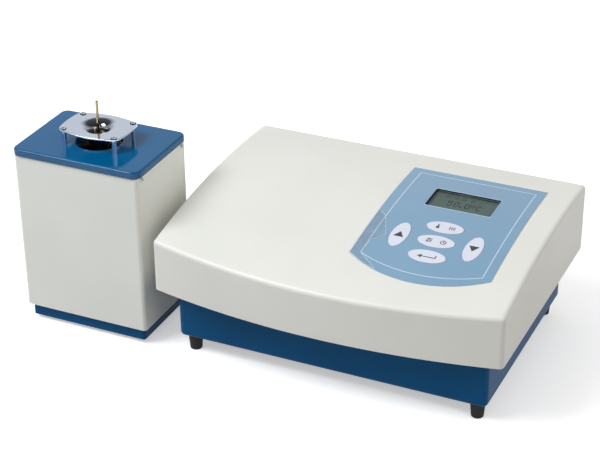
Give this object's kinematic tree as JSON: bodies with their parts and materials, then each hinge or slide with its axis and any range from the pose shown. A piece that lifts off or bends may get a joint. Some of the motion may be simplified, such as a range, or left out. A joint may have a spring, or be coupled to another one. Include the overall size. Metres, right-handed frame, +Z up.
{
  "type": "dropping point tester",
  "caption": "Bench tester for dropping points: a tube furnace under a horn dish takes a lift-out sample cartridge, beside a control unit with display, keypad and rear sockets.",
  "frame": {"origin": "on the floor plane under the middle of the outline of both units together", "axes": "+X to the right seen from the front, +Y towards the back, +Z up"},
  "size_m": [0.5416, 0.2852, 0.2507],
  "materials": {
    "tray_paint": "semi-gloss blue enamel on sheet steel",
    "foot_rubber": "matt black rubber",
    "screw_steel": "zinc plated steel",
    "plate_steel": "bare zinc plated sheet",
    "cover_plastic": "cream painted moulding, fine texture",
    "overlay_film": "satin printed film, light blue",
    "clear_pane": "clear pane",
    "lcd_face": "grey green liquid crystal glass",
    "lcd_metal": "black lacquered sheet",
    "circuit_board": "green solder resist",
    "key_plastic": "smooth near-white caps",
    "component_plastic": "black moulded components",
    "core_steel": "varnished iron laminations",
    "coil_tape": "yellow winding tape",
    "sink_aluminium": "extruded aluminium",
    "ribbon_plastic": "grey flat cable",
    "rear_aluminium": "brushed aluminium sheet",
    "fitting_black": "black moulded plastic",
    "blade_brass": "nickel plated brass",
    "fuse_glass": "glass tube with metal caps",
    "furnace_paint": "cream enamel on sheet steel",
    "lid_paint": "gloss blue enamel",
    "dish_chrome": "polished chrome plate",
    "block_aluminium": "heat darkened aluminium",
    "band_steel": "heater band sheet",
    "wool": "mineral wool",
    "ceramic_white": "unglazed ceramic",
    "lens_glass": "clear glass",
    "cartridge_brass": "polished brass",
    "sleeve_steel": "stainless tube"
  },
  "bodies": {
    "housing": {"base_tray": "tray_paint", "control_feet": "foot_rubber", "underside_screws": "screw_steel", "chassis_plate": "plate_steel", "inner_screws": "screw_steel", "cover_shell": "cover_plastic", "overlay_panel": "overlay_film", "lcd_window": "clear_pane", "lcd_bezel": "lcd_metal", "lcd_glass": "lcd_face", "lcd_board": "circuit_board", "key_board": "circuit_board", "key_switches": "component_plastic", "main_board": "circuit_board", "circuit_parts": "component_plastic", "board_pillars": "blade_brass", "transformer_core": "core_steel", "transformer_coil": "coil_tape", "transformer_strap": "plate_steel", "heat_sink": "sink_aluminium", "ribbon_cable": "ribbon_plastic", "rear_panel": "rear_aluminium", "rear_screws": "screw_steel", "mains_inlet": "fitting_black", "inlet_blades": "blade_brass", "switch_body": "fitting_black", "serial_port": "screw_steel", "cable_sockets": "screw_steel", "socket_inserts": "component_plastic", "furnace_case": "furnace_paint", "furnace_lid": "lid_paint", "furnace_screws": "screw_steel", "furnace_base": "tray_paint", "furnace_feet": "foot_rubber", "dish": "dish_chrome", "dish_pillars": "dish_chrome", "dish_screws": "screw_steel", "heater_block": "block_aluminium", "band_heater": "band_steel", "insulation_sleeve": "wool", "support_bridge": "plate_steel", "ceramic_spacers": "ceramic_white", "beam_housings": "component_plastic", "beam_lenses": "lens_glass", "temperature_sensor": "sleeve_steel", "fan_frame": "component_plastic"},
    "cartridge": {"handle_rod": "cartridge_brass", "cartridge_cap": "cartridge_brass", "cartridge_sleeve": "sleeve_steel", "sample_cup": "cartridge_brass", "drip_collector": "lens_glass"},
    "heat_key": {"key_heat": "key_plastic"},
    "preset_key": {"key_preset": "key_plastic"},
    "enter_key": {"key_enter": "key_plastic"},
    "up_key": {"key_up": "key_plastic"},
    "down_key": {"key_down": "key_plastic"},
    "rocker": {"power_rocker": "fitting_black"},
    "drawer": {"fuse_drawer": "fitting_black", "drawer_fuse": "fuse_glass"},
    "fan": {"fan_rotor": "component_plastic"}
  },
  "joints": [
    {"name": "sample_lift", "type": "slide", "parent": "housing", "child": "cartridge", "axis": [0, 0, 1], "range_m": [0, 0.15]},
    {"name": "heat_press", "type": "slide", "parent": "housing", "child": "heat_key", "axis": [0, 0.1189, -0.9929], "range_m": [0, 0.0005], "stiffness_N_per_m": 1500},
    {"name": "preset_press", "type": "slide", "parent": "housing", "child": "preset_key", "axis": [0, 0.1189, -0.9929], "range_m": [0, 0.0005], "stiffness_N_per_m": 1500},
    {"name": "enter_press", "type": "slide", "parent": "housing", "child": "enter_key", "axis": [0, 0.1189, -0.9929], "range_m": [0, 0.0005], "stiffness_N_per_m": 1500},
    {"name": "up_press", "type": "slide", "parent": "housing", "child": "up_key", "axis": [0, 0.1189, -0.9929], "range_m": [0, 0.0005], "stiffness_N_per_m": 1500},
    {"name": "down_press", "type": "slide", "parent": "housing", "child": "down_key", "axis": [0, 0.1189, -0.9929], "range_m": [0, 0.0005], "stiffness_N_per_m": 1500},
    {"name": "power_switch", "type": "hinge", "parent": "housing", "child": "rocker", "pos_m": [0.0603, 0.13075, 0.0485], "axis": [1, 0, 0], "range_deg": [0, 20]},
    {"name": "fuse_drawer_pull", "type": "slide", "parent": "housing", "child": "drawer", "axis": [0, 1, 0], "range_m": [0, 0.016]},
    {"name": "fan_spin", "type": "hinge", "parent": "housing", "child": "fan", "pos_m": [-0.19595, -0.06405, 0.015], "axis": [0, 0, 1], "continuous": true}
  ]
}
